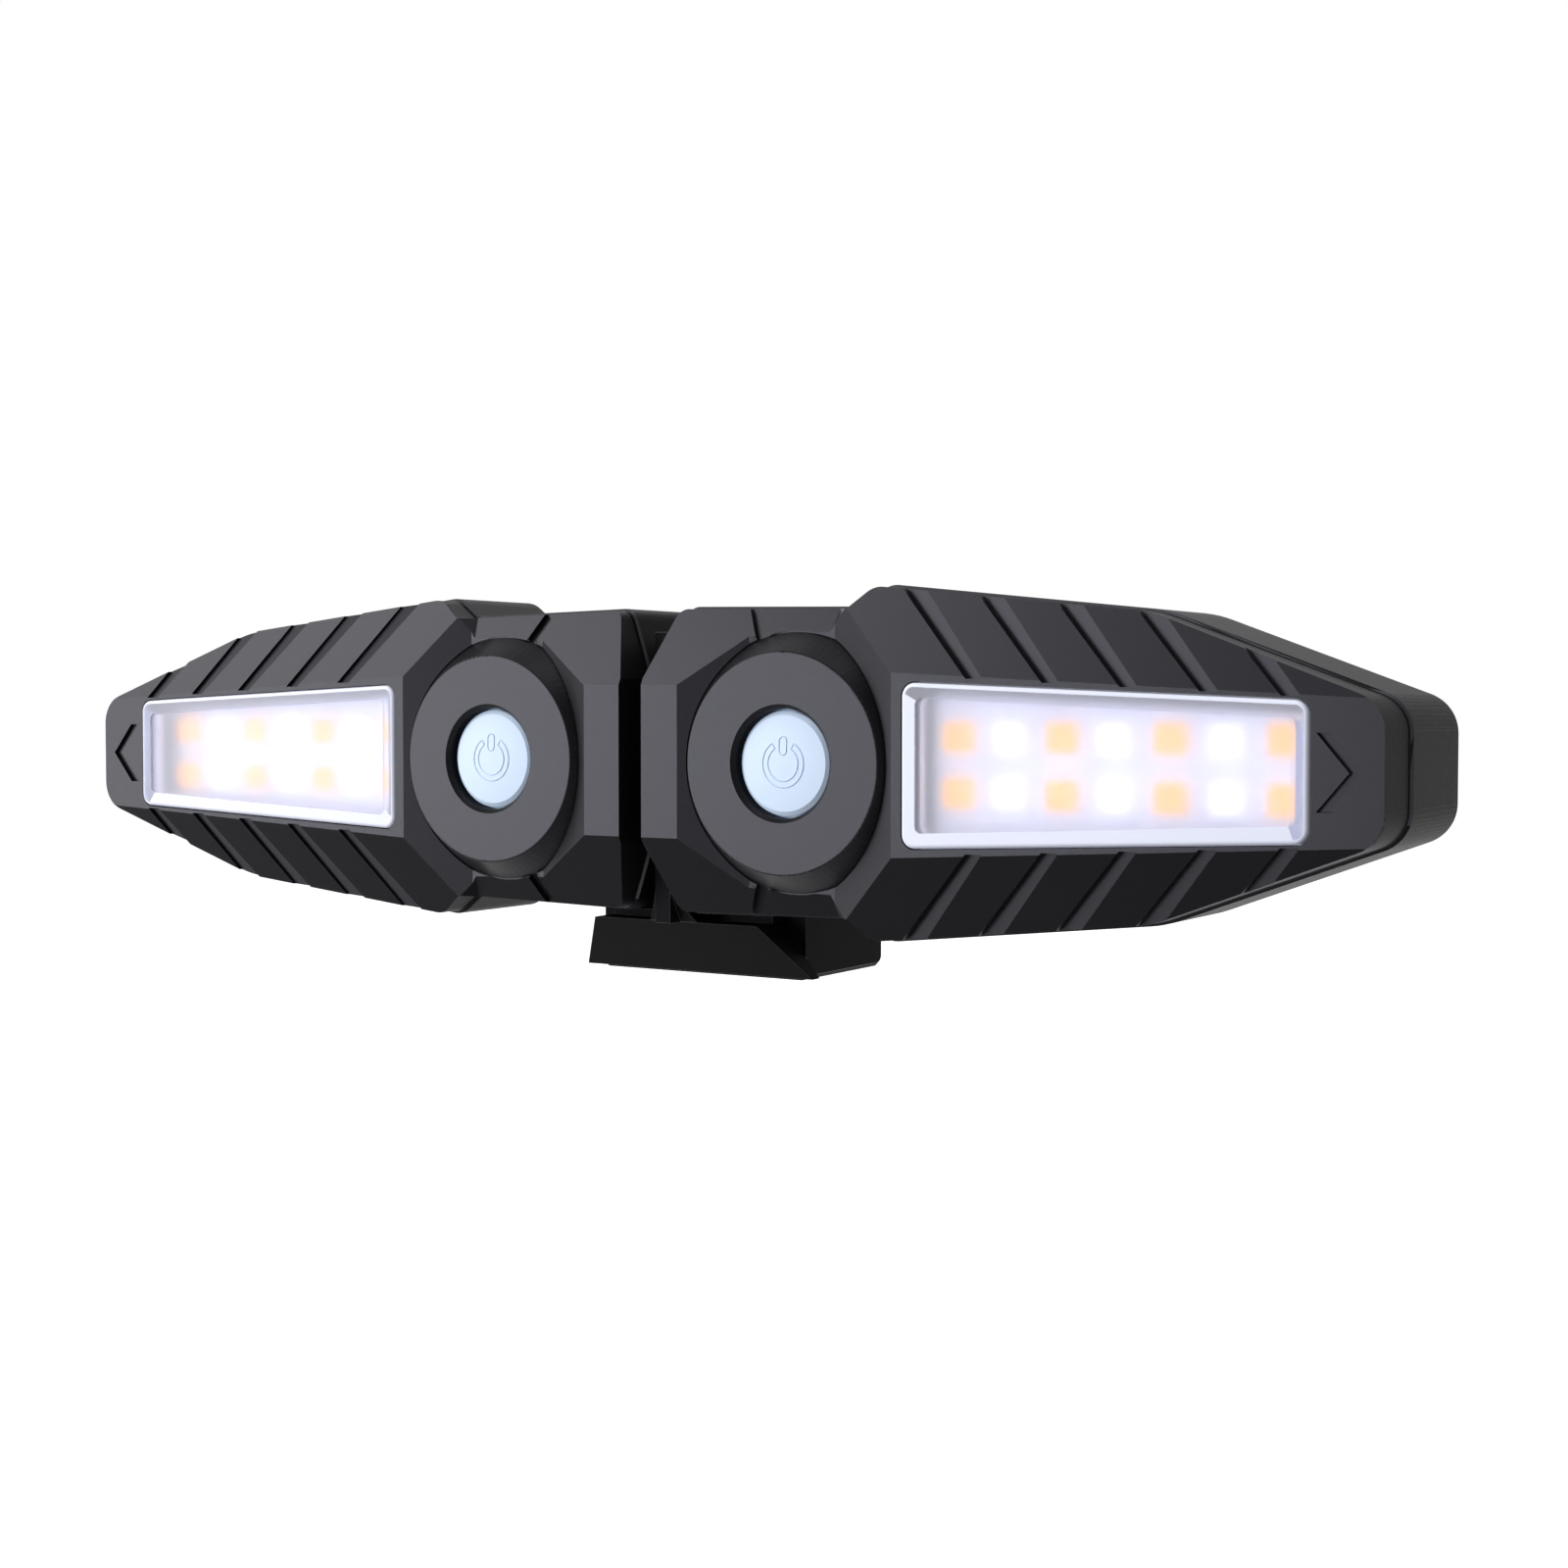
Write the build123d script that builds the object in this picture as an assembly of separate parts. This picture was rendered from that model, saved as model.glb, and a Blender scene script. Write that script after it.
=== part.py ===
"""Bicycle turn signal light: two mirrored lamp halves on one seat post bracket.

Frame: the origin is on the seat post's axis, level with the centres of the two round bezels.
+X runs along the lamp towards its right tip, +Z runs up the post, and the lenses face -Y.
Each lamp half is drawn on the right by its depth behind the front face, and mirrored for the left.
"""
from build123d import *
import math
import os

# Driving dimensions, in millimetres. Depths are measured back from the lamp's front face.
POST_RADIUS = 13.6            # a 27.2 mm seat post
PAD_THICK = 3.0               # rubber pad between bracket and post
PLATE_THICK = 3.0             # bracket back plate behind the lamp halves
CASE_DEPTH = 25.0             # front face to back face of a lamp half
PARTING_DEPTH = 7.0           # where the front and rear covers meet
WALL = 1.8                    # moulded wall of both covers
OVERRUN = 2.0                 # how far every cut runs past the material
TOUCH_GAP = 0.05              # between pieces that seat on each other with a curved face
FIT_GAP = 0.15                # around drop-in pieces such as the lens
RUN_GAP = 0.1                 # radial gap of a sliding or turning fit

# Outline of a lamp half in the front view, above its middle line
GAP_HALF = 1.8                # half the gap between the two halves
INNER_EDGE_HALF = 10.8        # half height of the straight inner edge
POD_CORNER_X = 4.8
POD_HALF = 19.85              # half height of the pod round the bezel
POD_END_X = 31.3
POD_END_HALF = 19.3
FULL_START_X = 34.7
FULL_HALF = 22.0              # half height where the lamp is tallest
BEND_X = 71.5                 # where the top line turns down to the tip
BEND_HALF = 18.0
BEND_RADIUS = 14.0
TIP_X = 99.4
TIP_TOP_HALF = 7.55
TIP_RADIUS = 4.5
TIP_DRAFT = 0.55              # how much the end wall grows from the front face to the parting line
REAR_TIP_DRAFT = 0.5          # and from there to the back face
LEAST_ROUND_SHARE = 0.3       # smallest share of a corner radius kept by an inner offset
REAR_PROUD = 0.4              # the rear cover stands out this far beyond the front cover
REAR_RIM_CHAMFER = 0.3
BACK_EDGE_FILLET = 1.5
POD_CORNER_FILLET = 1.7
STEP_FOOT_FILLET = 1.2        # inner and outer corner where the outline steps up from the pod
STEP_HEAD_FILLET = 3.0

# Facets of the front cover: each slope is depth over distance in the front view
POD_BEVEL_START = 9.9
POD_BEVEL_SLOPE = 0.485
LENS_FOLD_IN_HALF = 11.25     # height of the fold above the lens at its inner end
LENS_FOLD_OUT_HALF = 8.4
LENS_FOLD_OUT_X = 92.0
LENS_BEVEL_SLOPE = 0.33
VALLEY_IN_X = 7.45            # the shallow valley that the round bezel sits in
VALLEY_OUT_X = 39.0
VALLEY_FLOOR_IN_X = 16.65
VALLEY_FLOOR_OUT_X = 29.2
VALLEY_SLOPE = 0.325
STEP_FRONT = (31.5, 19.8, 2.44)    # x, height and depth of three points of the slanted step wall
STEP_REAR = (29.25, 19.8, 4.8)
STEP_LOW = (28.5, 16.4, 3.25)

# Diagonal grooves in the bevels above and below the lens
GROOVE_COUNT = 5
GROOVE_FIRST_X = 50.2         # middle of the first groove where it crosses the fold
GROOVE_PITCH = 9.95
GROOVE_PITCH_LOSS = 0.17      # each pitch is this much shorter than the one before
GROOVE_LEAN = 0.89            # sideways over upwards
GROOVE_WIDTH = 2.2            # across the groove along the fold
GROOVE_SPREAD = 0.085         # growth of that width per height
GROOVE_DEEP = 1.0
GROOVE_SHALLOW = 0.35
GROOVE_FOOT = 0.2             # how far a groove runs over the fold onto the front face

# Notch in the pod beside the bezel
NOTCH_TOP_X = 16.5
NOTCH_FOOT_X = 18.6
NOTCH_FOOT_HALF = 15.85
NOTCH_WIDTH = 1.8
NOTCH_DEEP = 0.8

# Lens
LENS_IN_X = 40.5
LENS_OUT_X = 91.1
LENS_IN_HALF = 10.1
LENS_OUT_HALF = 7.85
LENS_CORNER = 1.7
LENS_PROUD = 0.3
LENS_LIP = 1.9
LENS_LIP_HEIGHT = 0.35
LENS_EDGE_FILLET = 0.5
LENS_FLANGE = 0.7
LENS_FLANGE_THICK = 1.0
LENS_GASKET_THICK = 0.3
GASKET_THICK = 0.4            # flat seal between the two covers
GASKET_WIDTH = 1.6
GASKET_INSET = 0.35

# Round bezel and power button
DISC_X = 23.4
DISC_RADIUS = 14.0
DISC_PROUD = 0.5
CONE_DEPTH = 3.25
CONE_RADIUS = 16.5
BEZEL_NECK_RADIUS = 14.4
BEZEL_SEAT_DEPTH = 5.4
SEAT_HOLE_RADIUS = 12.3
CONE_GAP = 0.2
DISC_EDGE_FILLET = 0.35
BUTTON_HOLE_RADIUS = 6.95
BUTTON_HOLE_CHAMFER = 0.5
BUTTON_LIP_DEPTH = 2.3
BUTTON_POCKET_RADIUS = 8.6
BUTTON_RADIUS = 6.6
BUTTON_RIM_DEPTH = 0.7
BUTTON_CROWN = 0.55
BUTTON_FLANGE_RADIUS = 8.2
BUTTON_FLANGE_THICK = 0.9
BUTTON_FLANGE_GAP = 0.2
BUTTON_TRAVEL = 0.6
STEM_RADIUS = 2.2
STEM_END_DEPTH = 5.2

# Chevron cut into the tip
CHEVRON_APEX_X = 97.4
CHEVRON_BACK_X = 93.7
CHEVRON_HALF = 4.35
CHEVRON_STROKE = 1.4
CHEVRON_DEEP = 0.6

# Light-emitting diodes and their board
LED_COLUMNS = 7
LED_FIRST_X = 45.4
LED_PITCH = 6.85
LED_ROW_HALF = 3.4
LED_SIZE = 3.6
LED_HEIGHT = 1.2
LED_WINDOW_RADIUS = 1.5
LED_WINDOW_DEEP = 0.25
BOARD_THICK = 1.2
LED_BOARD_DEPTH = 6.7
LED_BOARD_MARGIN = 1.6        # how far the board stays inside the lens outline

# Control board, switch, battery and charging socket
MAIN_BOARD_DEPTH = 10.2
MAIN_BOARD_IN_X = 8.6
MAIN_BOARD_OUT_X = 37.8
MAIN_BOARD_HALF = 12.6
SWITCH_SIZE = 6.0
SWITCH_HEIGHT = 3.4
PLUNGER_RADIUS = 1.7
PLUNGER_TAIL = 1.2
CELL_RADIUS = 5.0
CELL_START_X = 40.6
CELL_LENGTH = 44.0
CELL_AXIS_DEPTH = 15.4
CELL_CAP_RADIUS = 1.9
CELL_CAP_LENGTH = 0.9
CRADLE_THICK = 1.6
CRADLE_HALF = 7.4
RADIO_SIZE = 5.0
RADIO_HEIGHT = 1.1
RADIO_X = 13.2
PORT_X = 33.0
PORT_LONG = 8.94
PORT_SHORT = 3.16
PORT_WALL = 0.35
PORT_TONGUE = 0.7
PORT_ROUND_SHARE = 0.85       # corner radius over half the slot's width
PORT_RECESS = 0.2             # the socket's mouth stays this far inside the back wall
FLAP_LONG = 15.0
FLAP_SHORT = 8.6
FLAP_THICK = 1.2
FLAP_CORNER = 1.4
FLAP_GAP = 0.3
FLAP_PLUG_DEEP = 1.5
FLAP_PLUG_GAP = 0.6
FLAP_PIN_RADIUS = 1.0
FLAP_PIN_HALF = 4.0
POST_BOSS_RADIUS = 1.4
LED_POST_RADIUS = 1.1

# Cover screws
SCREW_RADIUS = 1.0
SCREW_HEAD_RADIUS = 1.9
SCREW_HEAD_THICK = 1.3
SCREW_HEAD_SUNK = 0.5
SCREW_TIP_DEPTH = 4.0
SCREW_SLOT = 0.5
SCREW_BOSS_RADIUS = 2.4
SCREW_HOLE_GAP = 0.1
COVER_HOLE_DEPTH = 3.6        # front end of the screw holes in the front cover
TALL_SCREW_X = 32.6
TALL_SCREW_HALF = 17.2
TIP_SCREW_X = 94.4
TIP_SCREW_HALF = 4.6

# Bracket
PLATE_HALF_WIDTH = 24.0
PLATE_TOP = 14.5
PLATE_BOTTOM = -20.2
PLATE_TAPER = 6.0             # height over which the plate narrows to the saddle's width
PLATE_CORNER = 2.0
FOOT_BOTTOM = -29.1
FOOT_TOP = -21.8
FOOT_TOP_HALF = 13.2
FOOT_BOTTOM_HALF = 18.5
FOOT_TOP_DEPTH = 10.0
FOOT_BOTTOM_DEPTH = 15.5
FOOT_BACK_DEPTH = 17.4
NECK_HALF = 13.0
NECK_TOP = -20.8
NECK_DEPTH = 14.3             # front face of the neck between the foot and the plate
NECK_BOTTOM = -25.0
FLARE_BACK_DEPTH = 16.0
BASE_DEPTH = 17.0             # front face of the wider base behind the foot
BASE_BOTTOM = -29.5
BASE_ROUND = 1.6
SPINE_HALF = 1.2
SPINE_DEPTH = 7.4
SPINE_TOP = 17.0
FLARE_TOP = -17.6
FLARE_HALF = 3.75
SADDLE_HALF_WIDTH = 16.6
SADDLE_TOP = 17.0
SADDLE_DEPTH = 10.0           # how far the saddle reaches back from the plate
SADDLE_CORNER = 0.6
PAD_HALF_ANGLE = 62.0
PAD_HALF_HEIGHT = 16.0
PAD_RIB_COUNT = 5
PAD_RIB_DEEP = 0.5
PAD_RIB_WIDTH = 1.6
STRAP_THICK = 2.2
STRAP_HALF = 7.5
STRAP_SIDE_GAP = 0.2
STRAP_SHOULDER_Y = -6.0
STRAP_END_Y = -15.4
STRAP_END_RADIUS = 2.0
PEG_Y = -11.6
PEG_RADIUS = 1.9
PEG_HEAD_RADIUS = 3.0
PEG_HEAD_THICK = 1.4
STRAP_SPARE_Y = -4.0
PLATE_SCREW_X = 20.6
PLATE_SCREW_HALF = 10.2
PLATE_SCREW_RADIUS = 1.25
PLATE_SCREW_HEAD_RADIUS = 2.3
PLATE_SCREW_HEAD_THICK = 1.4
PLATE_SCREW_LENGTH = 8.0
PLATE_BOSS_RADIUS = 2.8
PLATE_BOSS_LENGTH = 7.2

# Sizes worked out from the ones above
FRONT_Y = -(POST_RADIUS + PAD_THICK + PLATE_THICK + CASE_DEPTH)
SADDLE_RADIUS = POST_RADIUS + PAD_THICK
FLOOR_DEPTH = CASE_DEPTH - WALL
PLATE_BOSS_DEPTH = FLOOR_DEPTH - PLATE_BOSS_LENGTH
FRONT_COVER_BACK = PARTING_DEPTH - GASKET_THICK / 2
REAR_COVER_FRONT = PARTING_DEPTH + GASKET_THICK / 2


def y_at(depth):
    """Part coordinate of a depth behind the lamp's front face."""
    return FRONT_Y + depth


def face_plane(depth):
    """Plane seen from the front at a depth: sketch X is right, sketch Y is up, normal to the rear."""
    return Plane(origin=(0, y_at(depth), 0), x_dir=(-1, 0, 0), z_dir=(0, 1, 0))


def front_sketch(points, depth):
    """Closed face at a depth from (x, z) points of the front view."""
    corners = [(x, y_at(depth), z) for x, z in points]
    return Face(Polyline(*corners, close=True).wire())


def mirrored(points):
    """A half outline above the middle line, closed with its image below."""
    return points + [(x, -z) for x, z in reversed(points)]


def prism(points, start, end):
    """Solid between two depths with one outline."""
    return extrude(front_sketch(points, start), amount=end - start, dir=(0, 1, 0))


def rod(x, z, radius, start, end):
    """Round rod along the depth."""
    centre = Location(((x), y_at((start + end) / 2), z), (90, 0, 0))
    return centre * Cylinder(radius, end - start)


def block(x0, x1, z0, z1, start, end):
    """Box between two x, two z and two depths."""
    centre = Location(((x0 + x1) / 2, y_at((start + end) / 2), (z0 + z1) / 2))
    return centre * Box(x1 - x0, end - start, z1 - z0)


def case_outline(grow, draft):
    """Corners of the outline with every wall moved out by grow, and the end wall also by draft."""
    corners = mirrored([(GAP_HALF, INNER_EDGE_HALF), (POD_CORNER_X, POD_HALF), (POD_END_X, POD_END_HALF),
                        (FULL_START_X, FULL_HALF), (BEND_X, BEND_HALF), (TIP_X, TIP_TOP_HALF)])
    end_wall = len(corners) // 2 - 1
    walls = []
    for index, (x, z) in enumerate(corners):
        next_x, next_z = corners[(index + 1) % len(corners)]
        length = math.hypot(next_x - x, next_z - z)
        growth = grow + draft if index == end_wall else grow
        walls.append(((z - next_z) / length, (next_x - x) / length, growth))
    walls[-1] = (*walls[-1][:2], min(grow, 0))
    moved = []
    for index, (x, z) in enumerate(corners):
        x0, z0, growth0 = walls[index - 1]
        x1, z1, growth1 = walls[index]
        turn = x0 * z1 - z0 * x1
        moved.append((x + (growth0 * z1 - growth1 * z0) / turn, z + (x0 * growth1 - x1 * growth0) / turn))
    return moved


def edges_through(shape, x, half):
    """Long edges of a case that pass near an (x, z) point and its image below."""
    found = []
    for edge in shape.edges():
        middle = edge.center()
        near = math.hypot(middle.X - x, abs(middle.Z) - half)
        if near < FIT_GAP and abs(edge.tangent_at(0).Y) > math.cos(math.pi / 4):
            found.append(edge)
    return found


def drafted_case(start, end, grow, draft_front, draft_back):
    """Outline swept between two depths with a drafted end wall and rounded corners."""
    front = front_sketch(case_outline(grow, draft_front), start)
    back = front_sketch(case_outline(grow, draft_back), end)
    case = Solid.make_loft([front.outer_wire(), back.outer_wire()], ruled=True)
    middle = case_outline(grow, (draft_front + draft_back) / 2)
    for index, radius, sense in ((5, TIP_RADIUS, 1), (4, BEND_RADIUS, 1), (3, STEP_HEAD_FILLET, 1),
                                 (2, STEP_FOOT_FILLET, -1), (1, POD_CORNER_FILLET, 1)):
        round_off = max(radius + grow * sense, radius * LEAST_ROUND_SHARE)
        case = fillet(edges_through(case, *middle[index]), round_off)
    return case


def depth_plane(points):
    """Plane through three (x, z, depth) points, its normal towards the front."""
    first, second, third = [Vector(x, y_at(depth), z) for x, z, depth in points]
    normal = (second - first).cross(third - first)
    if normal.Y > 0:
        normal = normal * -1
    return Plane(origin=first, x_dir=second - first, z_dir=normal)


def depth_wedge(region, points):
    """Cutter in front of the plane through three (x, z, depth) points, over an (x, z) region."""
    return split(prism(region, -OVERRUN, CASE_DEPTH), bisect_by=depth_plane(points), keep=Keep.TOP)


def pod_bevel_cut(side):
    """Wedge that leaves the sloping facet above or below the bezel, ended by the slanted step wall."""
    top = POD_HALF * 2
    region = [(-OVERRUN, side * POD_BEVEL_START), (VALLEY_OUT_X, side * POD_BEVEL_START),
              (VALLEY_OUT_X, side * top), (-OVERRUN, side * top)]
    rise = (top - POD_BEVEL_START) * POD_BEVEL_SLOPE
    wedge = depth_wedge(region, [(0, side * POD_BEVEL_START, 0), (DISC_X, side * POD_BEVEL_START, 0),
                                 (0, side * top, rise)])
    step = [(x, side * z, depth) for x, z, depth in (STEP_FRONT, STEP_REAR, STEP_LOW)]
    return split(wedge, bisect_by=depth_plane(step), keep=Keep.TOP)


def lens_bevel_cut(side, shift):
    """Wedge that leaves the long facet above or below the lens."""
    top = FULL_HALF * 2
    start_x, end_x = VALLEY_FLOOR_OUT_X, TIP_X * 2 - LENS_OUT_X
    region = [(start_x, side * fold_half(start_x)), (end_x, side * fold_half(end_x)), (end_x, side * top),
              (start_x, side * top)]
    rise = (top - LENS_FOLD_IN_HALF) * LENS_BEVEL_SLOPE
    return depth_wedge(region, [(VALLEY_OUT_X, side * LENS_FOLD_IN_HALF, shift),
                                (end_x, side * fold_half(end_x), shift),
                                (VALLEY_OUT_X, side * top, shift + rise)])


def valley_cut(shift):
    """Shallow valley across the pod, deepest behind the bezel."""
    floor_in = (VALLEY_FLOOR_IN_X - VALLEY_IN_X) * VALLEY_SLOPE
    floor_out = (VALLEY_OUT_X - VALLEY_FLOOR_OUT_X) * VALLEY_SLOPE
    lead = OVERRUN / VALLEY_SLOPE
    section = [(VALLEY_IN_X - lead, -OVERRUN), (VALLEY_IN_X, 0), (VALLEY_FLOOR_IN_X, floor_in),
               (VALLEY_FLOOR_OUT_X, floor_out), (VALLEY_OUT_X, 0), (VALLEY_OUT_X + lead, -OVERRUN)]
    corners = [(x, y_at(depth + shift), -FULL_HALF * 2) for x, depth in section]
    return extrude(make_face(Polyline(*corners, close=True)), amount=FULL_HALF * 4, dir=(0, 0, 1))


def lens_points(grow):
    """Corners of the lens outline, moved out by grow."""
    return mirrored([(LENS_IN_X - grow, LENS_IN_HALF + grow), (LENS_OUT_X + grow, LENS_OUT_HALF + grow)])


def lens_prism(grow, start, end):
    """Rounded lens outline between two depths."""
    body = prism(lens_points(grow), start, end)
    corners = body.edges().filter_by(Axis.Y)
    return fillet(corners, max(LENS_CORNER + grow, LENS_CORNER / 2))


def fold_half(x):
    """Height of the fold above the lens at x."""
    slope = (LENS_FOLD_OUT_HALF - LENS_FOLD_IN_HALF) / (LENS_FOLD_OUT_X - VALLEY_OUT_X)
    return LENS_FOLD_IN_HALF + slope * (x - VALLEY_OUT_X)


def groove_cut(side, index):
    """One diagonal groove: a steep wall on its inner side, a floor that rises outwards."""
    x = GROOVE_FIRST_X + index * GROOVE_PITCH - index * (index - 1) / 2 * GROOVE_PITCH_LOSS
    low, high = fold_half(x) - GROOVE_FOOT, FULL_HALF + OVERRUN
    rim = []
    for z in (low, high):
        middle, half = x - GROOVE_LEAN * (z - low), GROOVE_WIDTH / 2 + GROOVE_SPREAD / 2 * (z - low)
        rim.append([(middle - half, side * z), (middle + half, side * z)])
    (foot_in, foot_out), (head_in, head_out) = rim
    floor = [(*point, bevel_depth(*point) + deep)
             for point, deep in ((foot_in, GROOVE_DEEP), (head_in, GROOVE_DEEP), (head_out, GROOVE_SHALLOW))]
    return depth_wedge([foot_in, foot_out, head_out, head_in], floor)


def bevel_depth(x, z):
    """Depth of the lens facet's plane at (x, z)."""
    return (abs(z) - fold_half(x)) * LENS_BEVEL_SLOPE


def notch_cut(side):
    """Slanted notch in the pod facet beside the bezel."""
    low, high = POD_BEVEL_START + GROOVE_WIDTH, POD_HALF + OVERRUN
    lean = (NOTCH_TOP_X - NOTCH_FOOT_X) / (POD_HALF - NOTCH_FOOT_HALF)
    foot = NOTCH_FOOT_X + lean * (low - NOTCH_FOOT_HALF)
    head = NOTCH_FOOT_X + lean * (high - NOTCH_FOOT_HALF)
    region = [(foot - NOTCH_WIDTH / 2, side * low), (foot + NOTCH_WIDTH / 2, side * low),
              (head + NOTCH_WIDTH / 2, side * high), (head - NOTCH_WIDTH / 2, side * high)]
    rise = (high - POD_BEVEL_START) * POD_BEVEL_SLOPE
    return depth_wedge(region, [(0, side * POD_BEVEL_START, NOTCH_DEEP),
                                (DISC_X, side * POD_BEVEL_START, NOTCH_DEEP),
                                (0, side * high, NOTCH_DEEP + rise)])


def chevron_cut():
    """Arrow head cut into the tip, pointing outwards."""
    stroke = CHEVRON_STROKE * math.hypot(CHEVRON_APEX_X - CHEVRON_BACK_X, CHEVRON_HALF) / CHEVRON_HALF
    points = [(CHEVRON_APEX_X, 0), (CHEVRON_BACK_X, CHEVRON_HALF), (CHEVRON_BACK_X - stroke, CHEVRON_HALF),
              (CHEVRON_APEX_X - stroke, 0), (CHEVRON_BACK_X - stroke, -CHEVRON_HALF),
              (CHEVRON_BACK_X, -CHEVRON_HALF)]
    return prism(points, -OVERRUN, CHEVRON_DEEP)


def screw_places():
    """(x, z) of the four cover screws of one lamp half."""
    return [(x, side * half) for x, half in ((TALL_SCREW_X, TALL_SCREW_HALF), (TIP_SCREW_X, TIP_SCREW_HALF))
            for side in (1, -1)]


def cone_seat(gap):
    """Cone of the bezel's flank, opened by a gap, with the neck hole below it."""
    slope = (CONE_RADIUS - DISC_RADIUS) / (CONE_DEPTH + DISC_PROUD)
    low = DISC_RADIUS + gap - slope * (OVERRUN - DISC_PROUD)
    points = [(0, -OVERRUN), (low, -OVERRUN), (CONE_RADIUS + gap, CONE_DEPTH),
              (CONE_RADIUS + gap, CONE_DEPTH + gap), (BEZEL_NECK_RADIUS + gap, CONE_DEPTH + gap),
              (BEZEL_NECK_RADIUS + gap, BEZEL_SEAT_DEPTH),
              (0, BEZEL_SEAT_DEPTH)]
    return turned(points)


def turned(points):
    """Solid of revolution about the bezel's axis from (radius, depth) points."""
    corners = [(DISC_X + radius, y_at(depth), 0) for radius, depth in points]
    axis = Axis((DISC_X, 0, 0), (0, 1, 0))
    return revolve(make_face(Polyline(*corners, close=True)), axis=axis)


def front_cover():
    """Faceted front shell with the lens window, bezel seat, grooves, chevron and screw bosses."""
    shell = drafted_case(0, FRONT_COVER_BACK, 0, 0, TIP_DRAFT)
    for side in (1, -1):
        shell = shell - pod_bevel_cut(side) - lens_bevel_cut(side, 0)
    shell -= valley_cut(0)
    cavity = drafted_case(WALL, PARTING_DEPTH + OVERRUN, -WALL, 0, TIP_DRAFT)
    for side in (1, -1):
        cavity -= lens_bevel_cut(side, WALL)
    cavity -= block(-OVERRUN, LENS_IN_X - LENS_FLANGE - WALL, -FULL_HALF, FULL_HALF,
                    0, PARTING_DEPTH + OVERRUN * 2)
    shell -= cavity
    for x, z in screw_places():
        if x > LENS_IN_X:
            shell += rod(x, z, SCREW_BOSS_RADIUS, WALL, FRONT_COVER_BACK)
        shell -= rod(x, z, SCREW_RADIUS + TOUCH_GAP, COVER_HOLE_DEPTH, PARTING_DEPTH)
    shell -= cone_seat(CONE_GAP)
    shell -= rod(DISC_X, 0, SEAT_HOLE_RADIUS, 0, PARTING_DEPTH)
    shell -= lens_prism(FIT_GAP, -OVERRUN, WALL + OVERRUN)
    shell -= chevron_cut()
    for side in (1, -1):
        shell -= notch_cut(side)
        for index in range(GROOVE_COUNT):
            shell -= groove_cut(side, index)
    return shell


def port_opening(start, end, grow):
    """Rounded slot of the charging port."""
    body = block(PORT_X - PORT_SHORT / 2 - grow, PORT_X + PORT_SHORT / 2 + grow,
                 -PORT_LONG / 2 - grow, PORT_LONG / 2 + grow, start, end)
    return fillet(body.edges().filter_by(Axis.Y), (PORT_SHORT / 2 + grow) * PORT_ROUND_SHARE)


def flap_plate(grow, start):
    """Rounded plate of the port flap."""
    body = block(PORT_X - FLAP_SHORT / 2 - grow, PORT_X + FLAP_SHORT / 2 + grow,
                 -FLAP_LONG / 2 - grow, FLAP_LONG / 2 + grow, start, CASE_DEPTH)
    return fillet(body.edges().filter_by(Axis.Y), FLAP_CORNER)


def flap_axis_place():
    """(x, depth) of the flap's hinge line, on its outer edge."""
    return PORT_X + FLAP_SHORT / 2 + FLAP_GAP, CASE_DEPTH - FLAP_PIN_RADIUS


def upright_rod(x, depth, radius, half):
    """Round rod along Z."""
    return Location((x, y_at(depth), 0)) * Cylinder(radius, half * 2)


def rear_cover():
    """Deep rear tub with screw wells, board posts, cell cradles and the charging opening."""
    full_draft = TIP_DRAFT + REAR_TIP_DRAFT
    tub = drafted_case(REAR_COVER_FRONT, CASE_DEPTH, REAR_PROUD, TIP_DRAFT, full_draft)
    outer_edges = tub.faces().sort_by(Axis.Y)[0].outer_wire().edges()
    tub = chamfer(outer_edges, REAR_RIM_CHAMFER)
    tub = fillet(tub.faces().sort_by(Axis.Y)[-1].outer_wire().edges(), BACK_EDGE_FILLET)
    tub -= drafted_case(REAR_COVER_FRONT - OVERRUN, FLOOR_DEPTH, REAR_PROUD - WALL, TIP_DRAFT, full_draft)
    for x, z in screw_places():
        tub += rod(x, z, SCREW_BOSS_RADIUS, REAR_COVER_FRONT, FLOOR_DEPTH)
        tub -= rod(x, z, SCREW_RADIUS + SCREW_HOLE_GAP, 0, CASE_DEPTH + OVERRUN)
        tub -= rod(x, z, SCREW_HEAD_RADIUS + SCREW_HOLE_GAP, CASE_DEPTH - SCREW_HEAD_THICK - SCREW_HEAD_SUNK,
                   CASE_DEPTH + OVERRUN)
    for side in (1, -1):
        boss = rod(PLATE_SCREW_X, side * PLATE_SCREW_HALF, PLATE_BOSS_RADIUS, PLATE_BOSS_DEPTH, FLOOR_DEPTH)
        tub += boss
        tub -= rod(PLATE_SCREW_X, side * PLATE_SCREW_HALF, PLATE_SCREW_RADIUS + TOUCH_GAP,
                   PLATE_BOSS_DEPTH + WALL, CASE_DEPTH + OVERRUN)
        for x, z in board_post_places():
            tub += rod(x, side * z, POST_BOSS_RADIUS, MAIN_BOARD_DEPTH + BOARD_THICK, FLOOR_DEPTH)
        for x, z in led_post_places():
            tub += rod(x, side * z, LED_POST_RADIUS, LED_BOARD_DEPTH + BOARD_THICK, FLOOR_DEPTH)
    for x in cradle_places():
        tub += block(x - CRADLE_THICK / 2, x + CRADLE_THICK / 2, -CRADLE_HALF, CRADLE_HALF,
                     CELL_AXIS_DEPTH, FLOOR_DEPTH)
    tub -= along_x(CELL_START_X - OVERRUN, CELL_START_X + CELL_LENGTH + OVERRUN, CELL_RADIUS + TOUCH_GAP)
    tub -= port_opening(CASE_DEPTH - WALL - OVERRUN, CASE_DEPTH + OVERRUN, FIT_GAP)
    tub -= flap_plate(FLAP_GAP, CASE_DEPTH - FLAP_THICK) + flap_slot()
    return tub


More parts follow.
